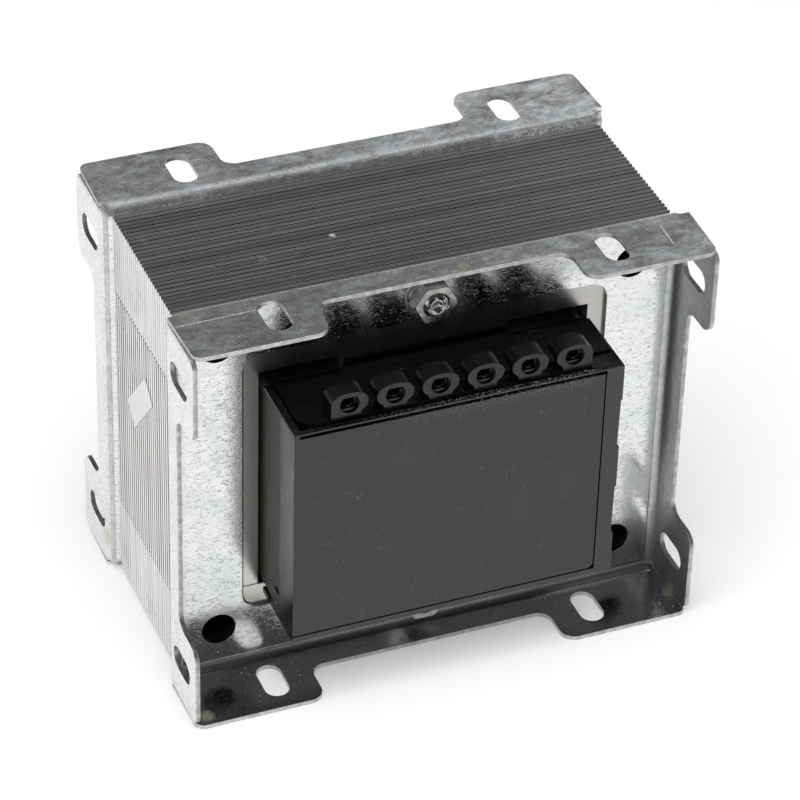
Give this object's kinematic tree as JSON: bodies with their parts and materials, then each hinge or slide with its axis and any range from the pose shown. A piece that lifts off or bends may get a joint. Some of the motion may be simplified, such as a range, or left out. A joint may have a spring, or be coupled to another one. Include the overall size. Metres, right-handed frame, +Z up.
{
  "type": "chassis mount transformer",
  "caption": "Open-frame mains transformer: a laminated steel core held between folded frames with slotted flanges, and a black shroud with screw terminals at the front.",
  "frame": {"origin": "under the middle of the core, on the plane of the frames' lower flanges", "axes": "+Z up, +X along the core's width towards the viewer's right when facing the terminals, +Y from the terminals to the rear"},
  "size_m": [0.112, 0.0744, 0.094],
  "materials": {
    "core": "oxide-grey steel sheet edges",
    "galvanised": "bright zinc-coated sheet",
    "fastener": "zinc-plated",
    "shroud_plastic": "semi-gloss black",
    "bobbin_plastic": "black",
    "board": "dark olive-grey insulating board",
    "copper": "enamelled copper wire",
    "tape": "insulating tape",
    "contact_metal": "tinned",
    "label": "blank white"
  },
  "bodies": {
    "root": {"e_laminations": "core", "i_laminations": "core", "front_frame": "galvanised", "rear_frame": "galvanised", "upper_clamp_bolt": "fastener", "lower_clamp_bolt": "fastener", "upper_clamp_nut": "fastener", "lower_clamp_nut": "fastener", "upper_lock_washer": "fastener", "lower_lock_washer": "fastener", "upper_front_washer": "fastener", "upper_rear_washer": "fastener", "lower_front_washer": "fastener", "lower_rear_washer": "fastener", "bobbin": "bobbin_plastic", "primary_winding": "copper", "interwinding_insulation": "tape", "secondary_winding": "copper", "outer_tape": "tape", "insulating_board": "board", "terminal_block": "bobbin_plastic", "terminal_contacts": "contact_metal", "winding_leads": "copper", "terminal_shroud": "shroud_plastic", "front_cover": "shroud_plastic", "side_label": "label"}
  },
  "joints": []
}
